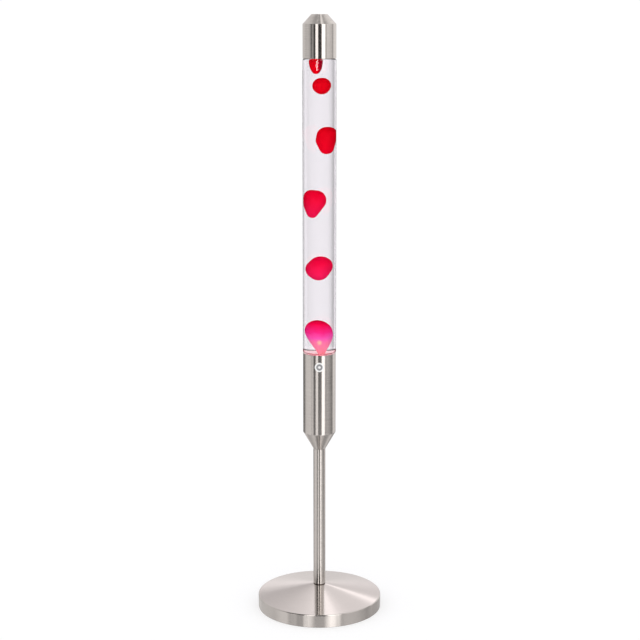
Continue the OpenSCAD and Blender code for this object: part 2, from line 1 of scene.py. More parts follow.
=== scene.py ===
# Floor-standing lava lamp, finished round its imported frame, in the order it is put together.
# Every length is in metres, +Z is up and the front of the lamp faces -Y.
from math import atan, atan2, cos, pi, radians, sin, sqrt

import bpy
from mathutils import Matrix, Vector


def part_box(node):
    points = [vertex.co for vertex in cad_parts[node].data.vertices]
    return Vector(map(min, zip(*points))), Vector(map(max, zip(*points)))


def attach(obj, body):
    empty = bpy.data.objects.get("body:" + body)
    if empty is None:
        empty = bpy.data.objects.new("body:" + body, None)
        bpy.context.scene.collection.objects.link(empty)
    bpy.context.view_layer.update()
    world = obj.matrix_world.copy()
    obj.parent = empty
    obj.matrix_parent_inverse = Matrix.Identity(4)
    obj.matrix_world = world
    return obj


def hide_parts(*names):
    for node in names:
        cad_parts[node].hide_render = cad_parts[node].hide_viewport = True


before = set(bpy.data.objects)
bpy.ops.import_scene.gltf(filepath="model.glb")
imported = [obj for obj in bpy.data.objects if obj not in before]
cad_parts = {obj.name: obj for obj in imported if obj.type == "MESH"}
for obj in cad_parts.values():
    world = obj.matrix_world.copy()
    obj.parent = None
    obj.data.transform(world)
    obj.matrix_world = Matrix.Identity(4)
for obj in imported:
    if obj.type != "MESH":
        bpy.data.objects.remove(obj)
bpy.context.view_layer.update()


# ------------------------------------------------------------------ studio
# A white room for a tall shiny object. The camera stands almost three metres away at the
# height of the cap; soft boxes and black screens beside it give the steel its stripes.
CAMERA_PLACE = (0.0, -2.800, 1.119)
CAMERA_TILT = radians(11.48)
CAMERA_LENS_MM = 87.97
CAMERA_SHIFT = 0.0009
FLOOR_SIZE = 40.0

# What the steel mirrors at each angle round the lamp, in degrees from the front, + to the right:
# LEVEL on the cap, which stands level with the camera, LOWER on the housing and the pole, RIM
# on the base's rim, and BELOW where a view from higher up meets upright steel.
LEVEL = [
    (-180, 0.75), (-150, 0.84), (-118, 0.84), (-108, 0.66), (-80, 0.66), (-76, 0.50), (-65, 0.48),
    (-62, 0.01), (-51, 0.01), (-48, 0.30), (-41, 0.32), (-38, 0.02), (-28, 0.02), (-26, 1.90),
    (-10, 1.90), (-8, 0.01), (14, 0.01), (17, 2.00), (39, 2.00), (42, 0.64), (49, 0.66), (54, 1.05),
    (78, 0.95), (98, 0.80), (103, 0.42), (107, 0.42), (111, 1.00), (150, 1.00), (160, 0.75),
]
LOWER = [
    (-180, 0.60), (-150, 0.06), (-128, 0.12), (-114, 0.60), (-104, 0.92), (-60, 1.02), (-52, 1.20),
    (-45, 1.08), (-40, 0.02), (-24, 0.02), (-20, 1.05), (-13, 1.08), (-9, 0.40), (-7, 0.04),
    (14, 0.03), (17, 0.30), (21, 2.10), (37, 2.10), (41, 0.33), (60, 0.30), (82, 0.12),
    (100, 0.08), (107, 0.55), (112, 1.05), (138, 0.86), (165, 0.60),
]
BELOW = [
    (-180, 0.60), (-131, 0.48), (-93, 0.70), (-79, 0.86), (-54, 0.72), (-42, 0.42), (-21, 0.42),
    (-5, 0.22), (4, 0.26), (12, 0.74), (32, 0.98), (52, 0.64), (72, 0.34), (95, 0.34), (131, 0.90),
]
RIM = [
    (-180, 0.70), (-150, 0.82), (-128, 0.82), (-112, 0.68), (-94, 0.59), (-78, 0.80), (-64, 0.84),
    (-59, 0.42), (-50, 0.44), (-38, 0.78), (-32, 0.72), (-29, 1.42), (-20, 1.12), (-16, 0.92), (-12, 0.60),
    (-6, 0.88), (9, 0.88), (13, 1.50), (16, 1.80), (24, 1.30), (29, 1.26), (33, 0.62), (42, 0.62),
    (50, 0.84), (62, 0.82), (74, 0.82), (90, 0.68), (102, 0.56), (108, 0.54), (120, 0.34), (150, 0.44),
]
# The base mirrors the wall behind the lamp: pale fans spread there round one point.
FAN_HEIGHT = 0.363
FANS = [
    (-180, 0.74), (-170, 0.83), (-160, 0.92), (-150, 0.96), (-140, 1.10), (-118, 1.26), (-90, 1.30),
    (-65, 1.18), (-45, 1.06), (-15, 0.94), (0, 0.92), (10, 0.94), (17, 1.02), (22, 1.20), (27, 1.70),
    (34, 1.60), (41, 1.15), (47, 1.04), (67, 1.04), (76, 1.22), (80, 1.60), (84, 1.60), (90, 1.30),
    (100, 1.12), (106, 1.02), (112, 0.95), (122, 0.85), (133, 0.78), (145, 0.73), (167, 0.69),
]
ROSY = (1.0, 0.955, 0.965, 1.0)
# Above the lamp hang a pale ceiling and a long lamp, whose reflection is the streak on the cap's cone.
CEILING = [(-0.95, 0.80), (-0.60, 0.62), (-0.25, 0.54), (0.06, 0.50), (0.12, 1.15), (0.22, 1.05),
           (0.29, 0.50), (0.60, 0.46), (0.85, 0.55)]
WARM = (1.0, 0.98, 0.965, 1.0)

# The heights of a direction, from -1 straight down to 1 straight up, between which one of these
# fades into the next, and how far beside and behind the lamp the fans reach
BELOW_TO_RIM = (-0.70, -0.55)
RIM_TO_LOWER = (-0.345, -0.30)
LOWER_TO_LEVEL = (-0.19, -0.07)
LEVEL_TO_CEILING = (0.84, 0.93)
FANS_BESIDE = (0.42, 0.30)
FANS_BEHIND = (0.25, 0.50)
FANS_ABOVE = (0.06, 0.20)

# What is seen through the bottle at the same angles, and the light that its glass mirrors
THROUGH_BOTTLE = [
    (-180, 1.12), (-164, 1.08), (-158, 0.98), (-153, 0.85), (-148, 0.72), (-144, 0.66), (-140, 0.92),
    (-136, 1.20), (-130, 1.62), (-118, 1.60), (-110, 1.05), (-60, 0.72), (60, 0.72), (110, 1.10),
    (122, 1.25), (131, 1.14), (138, 1.10), (144, 1.24), (149, 1.16), (154, 1.02), (160, 1.03), (167, 1.08),
]
LILAC = (1.0, 0.965, 0.985, 1.0)
GLASS_SHINE = [
    (-180, 0.45), (-120, 0.35), (-90, 0.03), (-25, 0.0), (-22, 11.0), (-11, 11.0), (-9, 0.0),
    (16, 0.0), (20, 2.2), (36, 2.2), (40, 0.0), (90, 0.03), (120, 0.35),
]
GLASS_SHINE_FLOOR = -0.042
# A ray that the bottle has mirrored inside itself has bounced more often than this, and ends black.
STRAY_BOUNCES = 1.5
BACKGROUND = (1.02, 1.02, 1.02, 1.0)
KEY_LIGHT = (1.30, 1.29, 1.27, 1.0)
FILL_LIGHT = (0.80, 0.80, 0.82, 1.0)
BOTTLE_KEY = (3.3, 3.3, 3.3, 1.0)
BOTTLE_FILL = (0.75, 0.75, 0.75, 1.0)


def new_node(tree, kind, sockets=None, **settings):
    """Adds a node. sockets maps an input's name or number to a value or to another node's output."""
    node = tree.nodes.new(kind)
    for name, value in settings.items():
        setattr(node, name, value)
    for key, value in (sockets or {}).items():
        if isinstance(value, bpy.types.NodeSocket):
            tree.links.new(value, node.inputs[key])
        else:
            node.inputs[key].default_value = value
    return node


def maths(tree, operation, first, second=0.0):
    """The result of one arithmetic step."""
    return new_node(tree, "ShaderNodeMath", {0: first, 1: second}, operation=operation).outputs[0]


def ramp(tree, value, stops):
    """A colour ramp over value, from (place, colour) stops with places from 0 to 1."""
    node = new_node(tree, "ShaderNodeValToRGB", {"Fac": value})
    elements = node.color_ramp.elements
    while len(elements) < len(stops):
        elements.new(1.0)
    for element, (place, colour) in zip(elements, stops):
        element.position = place
        element.color = colour
    return node.outputs["Color"]


def mix(tree, share, first, second):
    """Two colours mixed by share."""
    node = new_node(tree, "ShaderNodeMix", {"Factor": share}, data_type="RGBA")
    for socket, value in ((node.inputs[6], first), (node.inputs[7], second)):
        if isinstance(value, bpy.types.NodeSocket):
            tree.links.new(value, socket)
        else:
            socket.default_value = value
    return node.outputs[2]


def around(tree, share, levels, tint=(1, 1, 1, 1)):
    """A ramp right round the lamp from (angle, brightness), closed at the back, with one tint."""
    levels = levels + [(180, levels[0][1])]
    stops = [((a + 180) / 360, tuple(b * part for part in tint[:3]) + (1,)) for a, b in levels]
    return ramp(tree, share, stops)


def rising(tree, value, low, high):
    """0 below low, 1 above high, a straight slope between."""
    return new_node(tree, "ShaderNodeMapRange", {"Value": value, 1: low, 2: high}).outputs[0]


def studio_world():
    """Stripes for the steel, shaded edges for the bottle, soft front light, plain white behind."""
    world = bpy.data.worlds.new("studio")
    world.use_nodes = True
    world.cycles.sampling_method = "NONE"
    tree = world.node_tree
    tree.nodes.clear()
    place = new_node(tree, "ShaderNodeTexCoord").outputs["Generated"]
    x, y, z = new_node(tree, "ShaderNodeSeparateXYZ", {0: place}).outputs
    turn = maths(tree, "ARCTAN2", x, maths(tree, "MULTIPLY", y, -1.0))
    share = maths(tree, "ADD", maths(tree, "DIVIDE", turn, 2 * pi), 0.5)

    mirrored = around(tree, share, BELOW, WARM)
    for band, stripes in ((BELOW_TO_RIM, RIM), (RIM_TO_LOWER, LOWER), (LOWER_TO_LEVEL, LEVEL)):
        mirrored = mix(tree, rising(tree, z, *band), mirrored, around(tree, share, stripes, WARM))
    fan = maths(tree, "ARCTAN2", maths(tree, "SUBTRACT", z, FAN_HEIGHT), x)
    fans = around(tree, maths(tree, "ADD", maths(tree, "DIVIDE", fan, 2 * pi), 0.5), FANS, ROSY)
    beside = rising(tree, maths(tree, "ABSOLUTE", x), *FANS_BESIDE)
    behind = maths(tree, "MULTIPLY", rising(tree, z, *FANS_ABOVE), rising(tree, y, *FANS_BEHIND))
    mirrored = mix(tree, maths(tree, "MULTIPLY", beside, behind), mirrored, fans)
    ceiling = ramp(tree, maths(tree, "ADD", maths(tree, "MULTIPLY", x, 0.5), 0.5),
                   [(0.5 + a / 2, tuple(b * part for part in WARM[:3]) + (1,)) for a, b in CEILING])
    mirrored = mix(tree, rising(tree, z, *LEVEL_TO_CEILING), mirrored, ceiling)

    shine = around(tree, share, GLASS_SHINE)
    shine = mix(tree, maths(tree, "GREATER_THAN", z, GLASS_SHINE_FLOOR), (0, 0, 0, 1), shine)
    key = maths(tree, "POWER", maths(tree, "MAXIMUM", maths(tree, "MULTIPLY", y, -1.0), 0.0), 1.5)

    path = new_node(tree, "ShaderNodeLightPath").outputs
    through = maths(tree, "GREATER_THAN", path["Transmission Depth"], 0.5)
    lighting = maths(tree, "GREATER_THAN", path["Diffuse Depth"], 0.5)
    bounces = maths(tree, "SUBTRACT", path["Ray Depth"], path["Transmission Depth"])
    inside = maths(tree, "GREATER_THAN", bounces, STRAY_BOUNCES)
    stray = maths(tree, "MULTIPLY", path["Is Transmission Ray"], inside)
    sharp = maths(tree, "MULTIPLY", path["Is Reflection Ray"], path["Is Singular Ray"])
    colour = mix(tree, through, BACKGROUND, around(tree, share, THROUGH_BOTTLE, LILAC))
    colour = mix(tree, stray, colour, (0, 0, 0, 1))
    colour = mix(tree, path["Is Reflection Ray"], colour, mirrored)
    colour = mix(tree, sharp, colour, shine)
    soft = mix(tree, through, mix(tree, key, FILL_LIGHT, KEY_LIGHT),
               mix(tree, key, BOTTLE_FILL, BOTTLE_KEY))
    colour = mix(tree, lighting, colour, soft)
    surface = new_node(tree, "ShaderNodeBackground", {"Color": colour}).outputs[0]
    new_node(tree, "ShaderNodeOutputWorld", {"Surface": surface})
    return world


def studio():
    """Camera, floor and world."""
    bpy.ops.object.camera_add(location=CAMERA_PLACE, rotation=(pi / 2 - CAMERA_TILT, 0, 0))
    camera = bpy.context.object
    camera.data.sensor_width = 36.0
    camera.data.lens = CAMERA_LENS_MM
    camera.data.shift_x = CAMERA_SHIFT
    camera.data.clip_end = 60.0
    bpy.context.scene.camera = camera
    bpy.context.scene.world = studio_world()
    bpy.context.scene.view_settings.view_transform = "Standard"

    bpy.ops.mesh.primitive_plane_add(size=FLOOR_SIZE)
    floor = bpy.context.object
    floor.name = "studio_floor"
    floor.visible_glossy = False
    floor.visible_transmission = False
    matt = bpy.data.materials.new("floor_white")
    matt.use_nodes = True
    shader = matt.node_tree.nodes["Principled BSDF"].inputs
    shader["Base Color"].default_value = (0.70, 0.70, 0.70, 1)
    shader["Roughness"].default_value = 1.0
    shader["Specular IOR Level"].default_value = 0.0
    shader["Emission Color"].default_value = (1, 1, 1, 1)
    shader["Emission Strength"].default_value = 0.40
    floor.data.materials.append(matt)


studio()


# ------------------------------------------------------- pads and bottom plate
# Six rubber pads are glued under a zinc-plated steel disc, which three screws hold to the
# ballast's posts. The edge of the disc has a notch where a lead would come in.
def shader_of(name, **constants):
    """A new material, its node tree and its main shader, with constants set by socket name."""
    material = bpy.data.materials.new(name)
    material.use_nodes = True
    tree = material.node_tree
    shader = tree.nodes["Principled BSDF"]
    for key, value in constants.items():
        shader.inputs[key.replace("_", " ")].default_value = value
    return material, tree, shader


def group_sockets(tree, inputs, outputs):
    """Gives a node group its named number inputs and outputs, and returns its two end nodes."""
    for name, value in inputs.items():
        socket = tree.interface.new_socket(name, in_out="INPUT", socket_type="NodeSocketFloat")
        socket.default_value = value
    for name in outputs:
        tree.interface.new_socket(name, in_out="OUTPUT", socket_type="NodeSocketFloat")
    return tree.nodes.new("NodeGroupInput"), tree.nodes.new("NodeGroupOutput")


def surface_grain():
    """Group: fine even grain and slow patches, for cast, moulded, plated and fired surfaces."""
    tree = bpy.data.node_groups.new("surface_grain", "ShaderNodeTree")
    start, end = group_sockets(tree, {"Grains per metre": 900.0, "Patches per metre": 40.0},
                               ["Grain", "Patches"])
    place = new_node(tree, "ShaderNodeTexCoord").outputs["Object"]
    for name, source, detail in (("Grain", "Grains per metre", 2.0), ("Patches", "Patches per metre", 5.0)):
        noise = new_node(tree, "ShaderNodeTexNoise",
                         {"Vector": place, "Scale": start.outputs[source], "Detail": detail})
        tree.links.new(noise.outputs[0], end.inputs[name])
    return tree


GRAIN_GROUP = surface_grain()


def grainy(name, light, dark, roughness, grains, depth, metallic=0.0, **constants):
    """A surface whose colour drifts from light to dark in patches, with a fine grain in relief."""
    material, tree, shader = shader_of(name, Metallic=metallic, **constants)
    grain = new_node(tree, "ShaderNodeGroup", {}, node_tree=GRAIN_GROUP)
    grain.inputs["Grains per metre"].default_value = grains
    colour = ramp(tree, grain.outputs["Patches"], [(0.30, (*dark, 1)), (0.70, (*light, 1))])
    rough = new_node(tree, "ShaderNodeMapRange", {"Value": grain.outputs["Patches"], 1: 0.25, 2: 0.75,
                                                  3: roughness[0], 4: roughness[1]}).outputs[0]
    bump = new_node(tree, "ShaderNodeBump", {"Strength": 0.6, "Distance": depth,
                                             "Height": grain.outputs["Grain"]}).outputs[0]
    tree.links.new(colour, shader.inputs["Base Color"])
    tree.links.new(rough, shader.inputs["Roughness"])
    tree.links.new(bump, shader.inputs["Normal"])
    return material


def finish(material, *names):
    """Gives CAD nodes their finished material."""
    for name in names:
        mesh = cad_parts[name].data
        mesh.materials.clear()
        mesh.materials.append(material)


zinc = grainy("zinc_plate", (0.66, 0.67, 0.68), (0.50, 0.51, 0.53), (0.28, 0.46), 1500, 0.00003,
              metallic=1.0)
rubber = grainy("black_rubber", (0.035, 0.035, 0.036), (0.018, 0.018, 0.019), (0.62, 0.80), 2600, 0.00008)
finish(rubber, "foot_pads")
finish(zinc, "bottom_plate", "plate_screws")


# --------------------------------------------------------------------- ballast
# A disc of cast iron in black paint, with the sand's texture still showing. Under it sit the
# two-way terminal block and the saddle for the mains lead, moulded in cream nylon.
cast_iron = grainy("painted_casting", (0.030, 0.030, 0.032), (0.014, 0.014, 0.015), (0.42, 0.66), 420, 0.0006)
nylon = grainy("cream_nylon", (0.80, 0.77, 0.68), (0.70, 0.67, 0.58), (0.36, 0.48), 1800, 0.00003)
brass = grainy("turned_brass", (0.78, 0.56, 0.26), (0.62, 0.42, 0.18), (0.22, 0.36), 1200, 0.00002,
               metallic=1.0)
sheath = grainy("silicone_sheath", (0.82, 0.80, 0.74), (0.74, 0.71, 0.64), (0.45, 0.58), 1400, 0.00004)
finish(cast_iron, "ballast_disc")
finish(nylon, "cord_saddle", "terminal_block")
finish(brass, "terminal_sleeves")
finish(zinc, "wiring_screws", "base_washer")
finish(rubber, "cord_gland")
finish(sheath, "inner_lead")


# ------------------------------------------------------------------ base cover
# Stainless sheet spun over a former into a shallow cone with a straight rim, and brushed in
# rings on the lathe. A hole in the back of the rim takes the rubber gland.
SHEET = 0.0012
RIM_HEIGHT = 0.0245
COVER_FLAT = 0.01205
COVER_HOLE = 0.0052
COVER_EDGE = 0.0020
GLAND_HOLE = 0.00555
AXIS = 0.00001
STEEL_TINT = (0.640, 0.603, 0.578)
# A thin band of painted shade at the pole's foot, where it meets the cover.
FOOT_SHADE_HEIGHT = 0.0022
FOOT_SHADE_COLOUR = (0.10, 0.075, 0.065, 1)


def arc(x, z, radius, start, end, steps=6):
    """Points of an arc, given in degrees, as (distance from the axis, height)."""
    angles = [radians(start + (end - start) * i / steps) for i in range(steps + 1)]
    return [(x + radius * cos(a), z + radius * sin(a)) for a in angles]


def turned(name, outline, around=128, crease=30):
    """A solid of revolution: one ring of points pushed along the outline, as on a lathe.
    A third number in an outline's point shifts that ring sideways."""
    bpy.ops.object.select_all(action="DESELECT")
    rings = [(point + (0.0,))[:3] for point in outline]
    radius, height, side = rings[0]
    bpy.ops.mesh.primitive_circle_add(vertices=around, radius=radius, location=(side, 0, height))
    piece = bpy.context.object
    piece.name = piece.data.name = name
    bpy.ops.object.transform_apply(location=True)
    bpy.ops.object.mode_set(mode="EDIT")
    for before, after in zip(rings, rings[1:]):
        step = (after[2] - before[2], 0, after[1] - before[1])
        grow = after[0] / before[0]
        bpy.ops.mesh.extrude_region_move(TRANSFORM_OT_translate={"value": step})
        bpy.ops.transform.resize(value=(grow, grow, 1), center_override=(after[2], 0, after[1]))
    bpy.ops.mesh.select_all(action="SELECT")
    bpy.ops.mesh.remove_doubles(threshold=3 * AXIS)
    bpy.ops.mesh.normals_make_consistent(inside=False)
    bpy.ops.object.mode_set(mode="OBJECT")
    bpy.ops.object.shade_smooth_by_angle(angle=radians(crease))
    shading = piece.modifiers.new("even_shading", "WEIGHTED_NORMAL")
    shading.weight = 100
    shading.keep_sharp = True
    bpy.ops.object.modifier_apply(modifier=shading.name)
    return piece


def fit_out(piece, material, body, slot, *nodes):
    """Gives a finished piece its material and body, and hides the CAD nodes it stands for. slot is not used.
    """
    piece.data.materials.clear()
    piece.data.materials.append(material)
    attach(piece, body)
    if nodes:
        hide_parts(*nodes)


def distance(tree, along, up):
    """The distance of a point from the middle, from its two coordinates."""
    squares = maths(tree, "MULTIPLY", along, along), maths(tree, "MULTIPLY", up, up)
    return maths(tree, "SQRT", maths(tree, "ADD", *squares))


def ring_brushing():
    """Group: brush lines that run round the axis on walls, cones and discs alike."""
    tree = bpy.data.node_groups.new("ring_brushing", "ShaderNodeTree")
    start, end = group_sockets(tree, {"Lines per metre": 2600.0, "Streaks per metre": 30.0},
                               ["Lines", "Bands", "Smudges"])
    place = new_node(tree, "ShaderNodeTexCoord").outputs["Object"]
    x, y, z = new_node(tree, "ShaderNodeSeparateXYZ", {0: place}).outputs
    across = maths(tree, "ADD", distance(tree, x, y), z)
    streak = start.outputs["Streaks per metre"]
    for name, share, detail in (("Lines", 1.0, 3.0), ("Bands", 0.12, 4.0)):
        lines = maths(tree, "MULTIPLY", start.outputs["Lines per metre"], share)
        spot = new_node(tree, "ShaderNodeCombineXYZ", {
            0: maths(tree, "MULTIPLY", x, streak), 1: maths(tree, "MULTIPLY", y, streak),
            2: maths(tree, "MULTIPLY", across, lines)})
        noise = new_node(tree, "ShaderNodeTexNoise",
                         {"Vector": spot.outputs[0], "Scale": 1.0, "Detail": detail})
        tree.links.new(noise.outputs[0], end.inputs[name])
    smudge = new_node(tree, "ShaderNodeTexNoise",
                      {"Vector": place, "Scale": 22.0, "Detail": 3.0, "Distortion": 0.6})
    tree.links.new(smudge.outputs[0], end.inputs["Smudges"])
    return tree


BRUSHING_GROUP = ring_brushing()


def height_of(tree):
    """The height of the shaded point on the lamp."""
    place = new_node(tree, "ShaderNodeTexCoord").outputs["Object"]
    return new_node(tree, "ShaderNodeSeparateXYZ", {0: place}).outputs[2]


def brushed_steel(name, tint, roughness, lines, contrast=1.0, shaded_foot=None):
    """Brushed stainless: reflections stay sharp along the brush lines and smear across them.
    The optional foot height is where the pole meets the cover; painted shade darkens a band above it."""
    material, tree, shader = shader_of(name, Metallic=1.0, Anisotropic=1.0, Anisotropic_Rotation=0.25)
    brushing = new_node(tree, "ShaderNodeGroup", {}, node_tree=BRUSHING_GROUP)
    brushing.inputs["Lines per metre"].default_value = lines
    shade = maths(tree, "ADD", maths(tree, "MULTIPLY", brushing.outputs["Lines"], 0.94),
                  maths(tree, "MULTIPLY", brushing.outputs["Bands"], 0.06))
    darker = tuple((1 - 0.10 * contrast) * part for part in tint)
    lighter = tuple((1 + 0.07 * contrast) * part for part in tint)
    colour = ramp(tree, shade, [(0.30, (*darker, 1)), (0.70, (*lighter, 1))])
    # Painted shade: a dark band just above the pole's foot.
    if shaded_foot is not None:
        unshaded = rising(tree, height_of(tree), shaded_foot + 0.6 * FOOT_SHADE_HEIGHT, shaded_foot + FOOT_SHADE_HEIGHT)
        colour = mix(tree, unshaded, FOOT_SHADE_COLOUR, colour)
    worn = maths(tree, "MULTIPLY", brushing.outputs["Smudges"], 0.06)
    scored = maths(tree, "MULTIPLY", brushing.outputs["Lines"], 0.06)
    rough = maths(tree, "ADD", worn, maths(tree, "ADD", scored, roughness - 0.06))
    bump = new_node(tree, "ShaderNodeBump", {"Strength": 0.15, "Distance": 0.000006,
                                             "Height": brushing.outputs["Lines"]}).outputs[0]
    tree.links.new(colour, shader.inputs["Base Color"])
    tree.links.new(rough, shader.inputs["Roughness"])
    tree.links.new(bump, shader.inputs["Normal"])
    return material


def base_cover():
    """The spun cover with its rounded shoulder and hemmed lower edge."""
    low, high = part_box("base_cover")
    radius, seat, floor = high[0], high[2], low[2]
    drop = (seat - RIM_HEIGHT) / (radius - COVER_FLAT)
    shoulder = RIM_HEIGHT - COVER_EDGE + drop * COVER_EDGE
    lean = 90 - 180 / pi * atan(drop)
    outline = [(COVER_HOLE, seat), (COVER_FLAT, seat)]
    outline += arc(radius - COVER_EDGE, shoulder, COVER_EDGE, lean, 0, 10)
    outline += arc(radius - SHEET / 2, floor + SHEET / 2, SHEET / 2, 0, -180, 8)
    outline += [(radius - SHEET, RIM_HEIGHT - SHEET), (COVER_FLAT, seat - SHEET),
                (COVER_HOLE, seat - SHEET), (COVER_HOLE, seat)]
    cover = turned("spun_base_cover", outline, around=256)

    gland_low, gland_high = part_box("cord_gland")
    middle = (gland_low[2] + gland_high[2]) / 2
    bpy.ops.mesh.primitive_cylinder_add(vertices=48, radius=GLAND_HOLE, depth=0.02,
                                        location=(0, radius, middle), rotation=(pi / 2, 0, 0))
    punch = bpy.context.object
    bpy.ops.object.select_all(action="DESELECT")
    bpy.context.view_layer.objects.active = cover
    cover.select_set(True)
    hole = cover.modifiers.new("gland_hole", "BOOLEAN")
    hole.object = punch
    bpy.ops.object.modifier_apply(modifier=hole.name)
    bpy.data.objects.remove(punch)
    return cover


cover_steel = brushed_steel("ring_brushed_cover", STEEL_TINT, 0.16, 2400, 0.4)
fit_out(base_cover(), cover_steel, "stand", "brushed_stainless", "base_cover")


# ------------------------------------------------------------------------ pole
# A welded stainless tube, brushed round, with a plug in each end. Two hollow brass tubes with
# a fine thread run through the plugs, and nuts on them pull base, pole and housing together.
POLE_WALL = 0.0015
POLE_CHAMFER = 0.0004


def pole():
    """The tube with broken edges at both ends."""
    low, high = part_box("pole")
    radius, c = high[0], POLE_CHAMFER
    inside = radius - POLE_WALL
    outline = [(inside, low[2]), (radius - c, low[2]), (radius, low[2] + c),
               (radius, high[2] - c), (radius - c, high[2]), (inside, high[2]), (inside, low[2])]
    return turned("brushed_pole", outline, around=96)


def threaded(name, pitch):
    """Turned brass with a thread's rings in relief along Z, and painted shade in the grooves."""
    material, tree, shader = shader_of(name, Metallic=1.0, Roughness=0.28)
    place = new_node(tree, "ShaderNodeTexCoord").outputs["Object"]
    wave = new_node(tree, "ShaderNodeTexWave",
                    {"Vector": place, "Scale": 1 / pitch / 20, "Distortion": 0.0},
                    bands_direction="Z").outputs["Fac"]
    # Painted shade: the colour follows the relief and is darker in the thread's grooves.
    colour = ramp(tree, wave, [(0.0, (0.42, 0.29, 0.12, 1)), (0.6, (0.78, 0.56, 0.26, 1))])
    bump = new_node(tree, "ShaderNodeBump",
                    {"Strength": 0.8, "Distance": pitch / 2, "Height": wave}).outputs[0]
    tree.links.new(colour, shader.inputs["Base Color"])
    tree.links.new(bump, shader.inputs["Normal"])
    return material


pole_steel = brushed_steel("round_brushed_tube", STEEL_TINT, 0.17, 3000, shaded_foot=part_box("pole")[0][2])
fit_out(pole(), pole_steel, "stand", "brushed_stainless", "pole")
finish(threaded("threaded_brass", 0.001), "base_stud", "housing_stud")
finish(zinc, "foot_bush", "top_bush", "stud_nuts", "lock_washers")


# ---------------------------------------------------------------- lamp housing
# Stainless tube closed below by a spun cone. The welded seam between them is ground flush and
# the open rim is rounded. A plain enamelled plate is glued to the front, just below the rim.
HOUSING_STRAIGHT = 0.150
HOUSING_FLOOR = 0.002
HOUSING_MOUTH = 0.0052
CONE_FOOT_STEP = 0.0004
SOFT_EDGE = 0.0008


def lamp_housing():
    """The housing: cone, straight wall and rounded rim, with its inner skin."""
    low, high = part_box("lamp_housing")
    radius, foot, rim = high[0], low[2], high[2]
    bend = rim - HOUSING_STRAIGHT
    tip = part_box("pole")[1][0] + CONE_FOOT_STEP
    slope = (radius - tip) / (bend - foot)
    skin = SHEET * sqrt(1 + slope * slope)
    floor = foot + HOUSING_FLOOR
    soft = SOFT_EDGE
    outline = [(HOUSING_MOUTH, foot), (tip - 0.0003, foot), (tip, foot + 0.0003),
               (radius - slope * soft, bend - soft), (radius - 0.15 * slope * soft, bend - 0.1 * soft),
               (radius, bend + soft)]
    outline += arc(radius - SHEET / 2, rim - SHEET / 2, SHEET / 2, 0, 180, 10)
    outline += [(radius - SHEET, bend + soft), (tip + slope * HOUSING_FLOOR - skin, floor),
                (HOUSING_MOUTH, floor), (HOUSING_MOUTH, foot)]
    return turned("brushed_lamp_housing", outline)


def lamplit_steel():
    """The housing's inner wall, with the lamp's rosy light through the wax painted on as emission."""
    material, tree, shader = shader_of("lamplit_steel", Metallic=1.0, Roughness=0.35, Emission_Strength=0.75)
    low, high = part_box("lamp_housing")
    rise = rising(tree, height_of(tree), low[2], high[2])
    tree.links.new(ramp(tree, rise, [(0.25, (0, 0, 0, 1)), (0.65, (0.45, 0.30, 0.16, 1)),
                                     (0.88, (1.0, 0.66, 0.62, 1)), (0.99, (1.15, 0.92, 0.96, 1))]),
                   shader.inputs["Emission Color"])
    # Painted shade: the wall's steel colour is darker lower down in the housing.
    tree.links.new(ramp(tree, rise, [(0.0, (0.45, 0.43, 0.41, 1)), (1.0, (0.62, 0.57, 0.55, 1))]),
                   shader.inputs["Base Color"])
    return material


def badge():
    """White enamel with a grey ring let into it."""
    material, tree, shader = shader_of("ringed_enamel", Roughness=0.14, Coat_Weight=0.6, Coat_Roughness=0.05)
    low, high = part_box("emblem_plate")
    place = new_node(tree, "ShaderNodeTexCoord").outputs["Object"]
    x, _, z = new_node(tree, "ShaderNodeSeparateXYZ", {0: place}).outputs
    up = maths(tree, "SUBTRACT", z, (low[2] + high[2]) / 2)
    out = maths(tree, "DIVIDE", distance(tree, x, up), (high[0] - low[0]) / 2)
    white, grey = (0.92, 0.92, 0.91, 1), (0.30, 0.30, 0.31, 1)
    tree.links.new(ramp(tree, out, [(0.24, white), (0.32, grey), (0.66, grey), (0.74, white)]),
                   shader.inputs["Base Color"])
    return material


body_steel = brushed_steel("round_brushed_sheet", STEEL_TINT, 0.17, 2400)
housing = lamp_housing()
fit_out(housing, body_steel, "stand", "brushed_stainless", "lamp_housing")
# The inner wall's faces get the painted lamplight material.
housing.data.materials.append(lamplit_steel())
for face in housing.data.polygons:
    out = face.normal.x * face.center.x + face.normal.y * face.center.y
    face.material_index = 1 if out < -0.9 * abs(face.center.xy.length) else 0
finish(badge(), "emblem_plate")


# ----------------------------------------------------------------- lamp holder
# A steel plate on the threaded tube carries the steatite holder on two brass pillars. The
# spun aluminium reflector lies on the holder, and one pair of screws goes through them all.
steatite = grainy("steatite", (0.80, 0.77, 0.70), (0.72, 0.69, 0.62), (0.50, 0.70), 1100, 0.00008)
finish(zinc, "holder_plate", "holder_screws")
finish(brass, "standoffs", "holder_contacts")
finish(steatite, "lamp_holder")
finish(brushed_steel("spun_aluminium", (0.86, 0.87, 0.88), 0.20, 3500), "reflector")


# ---------------------------------------------------------------- capsule lamp
# A halogen capsule of fused quartz, pinched flat over its two nickel pins. A close coil of
# tungsten lies across it on two support wires, and glows.
COIL_TURNS = 9
COIL_RADIUS = 0.0008
COIL_WIRE = 0.00014
COIL_DROP = 0.0009
SUPPORT_INSET = 0.0003
SUPPORT_BEND = 0.0006
GLOW_FROM, GLOW_FULL = 0.0028, 0.0016


def wire_along(name, points, radius, closed=False):
    """A round wire along points, as a mesh."""
    bpy.ops.object.select_all(action="DESELECT")
    bpy.ops.curve.primitive_bezier_curve_add()
    wire = bpy.context.object
    wire.name = name
    curve = wire.data
    curve.splines.clear()
    spline = curve.splines.new("POLY")
    spline.points.add(len(points) - 1)
    for knot, point in zip(spline.points, points):
        knot.co = (*point, 1)
    spline.use_cyclic_u = closed
    curve.bevel_depth = radius
    curve.bevel_resolution = 2
    curve.use_fill_caps = not closed
    bpy.ops.object.convert(target="MESH")
    wire = bpy.context.object
    wire.data.name = name
    bpy.ops.object.shade_smooth_by_angle(angle=radians(40))
    return wire


